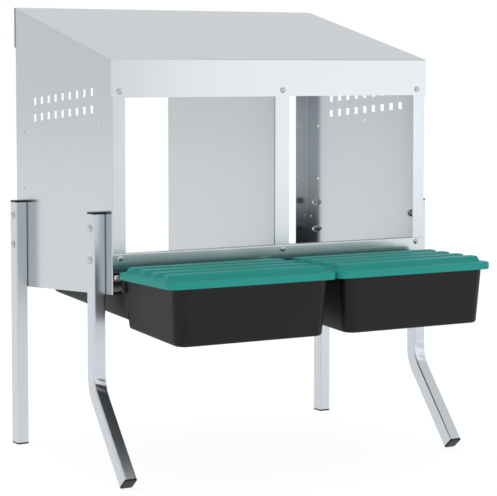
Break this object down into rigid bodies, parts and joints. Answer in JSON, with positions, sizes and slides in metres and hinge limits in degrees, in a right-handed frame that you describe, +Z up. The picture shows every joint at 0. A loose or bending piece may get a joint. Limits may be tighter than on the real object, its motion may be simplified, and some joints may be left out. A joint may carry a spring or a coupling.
{
  "type": "nesting box",
  "caption": "Sloping-roof steel nesting box for hens on bent tube legs, with pull-out egg trays under ribbed hinged lids.",
  "frame": {"origin": "on the floor, below the middle of the whole object's box", "axes": "+Z up, -Y towards the egg bins at the front, +X to the right seen from the front"},
  "size_m": [0.6462, 0.5696, 0.7506],
  "materials": {
    "zinc_sheet": "smooth galvanised sheet, satin",
    "leg_tube": "bright zinc-plated tube",
    "cap_plastic": "matt black moulded plastic",
    "fastener_steel": "bright zinc-plated steel",
    "rod_steel": "plain drawn rod",
    "tray_plastic": "satin black moulded plastic",
    "lid_plastic": "satin green moulded plastic"
  },
  "bodies": {
    "nest_frame": {"roof_panel": "zinc_sheet", "left_side_wall": "zinc_sheet", "right_side_wall": "zinc_sheet", "centre_partition": "zinc_sheet", "front_rail": "zinc_sheet", "rear_rail": "zinc_sheet", "centre_runner": "zinc_sheet", "left_rear_leg": "leg_tube", "right_rear_leg": "leg_tube", "left_front_leg": "leg_tube", "right_front_leg": "leg_tube", "left_rear_top_cap": "cap_plastic", "right_rear_top_cap": "cap_plastic", "left_front_top_cap": "cap_plastic", "right_front_top_cap": "cap_plastic", "left_rear_foot": "cap_plastic", "right_rear_foot": "cap_plastic", "left_front_foot": "cap_plastic", "right_front_foot": "cap_plastic", "fascia_screws": "fastener_steel", "front_rail_screws": "fastener_steel", "rear_skirt_screws": "fastener_steel", "rear_rail_screws": "fastener_steel", "leg_bolts": "fastener_steel", "leg_nuts": "fastener_steel", "runner_rivets": "fastener_steel"},
    "left_tray": {"left_tray": "tray_plastic", "left_hinge_rod": "rod_steel"},
    "right_tray": {"right_tray": "tray_plastic", "right_hinge_rod": "rod_steel"},
    "left_lid": {"left_lid": "lid_plastic"},
    "right_lid": {"right_lid": "lid_plastic"}
  },
  "joints": [
    {"name": "left_tray_slide", "type": "slide", "parent": "nest_frame", "child": "left_tray", "axis": [0, -0.9981, 0.0612], "range_m": [0, 0.22]},
    {"name": "right_tray_slide", "type": "slide", "parent": "nest_frame", "child": "right_tray", "axis": [0, -0.9981, 0.0612], "range_m": [0, 0.22]},
    {"name": "left_lid_hinge", "type": "hinge", "parent": "left_tray", "child": "left_lid", "pos_m": [-0.15, -0.1008, 0.321], "axis": [-1, 0, 0], "range_deg": [0, 58]},
    {"name": "right_lid_hinge", "type": "hinge", "parent": "right_tray", "child": "right_lid", "pos_m": [0.15, -0.1008, 0.321], "axis": [-1, 0, 0], "range_deg": [0, 58]}
  ]
}
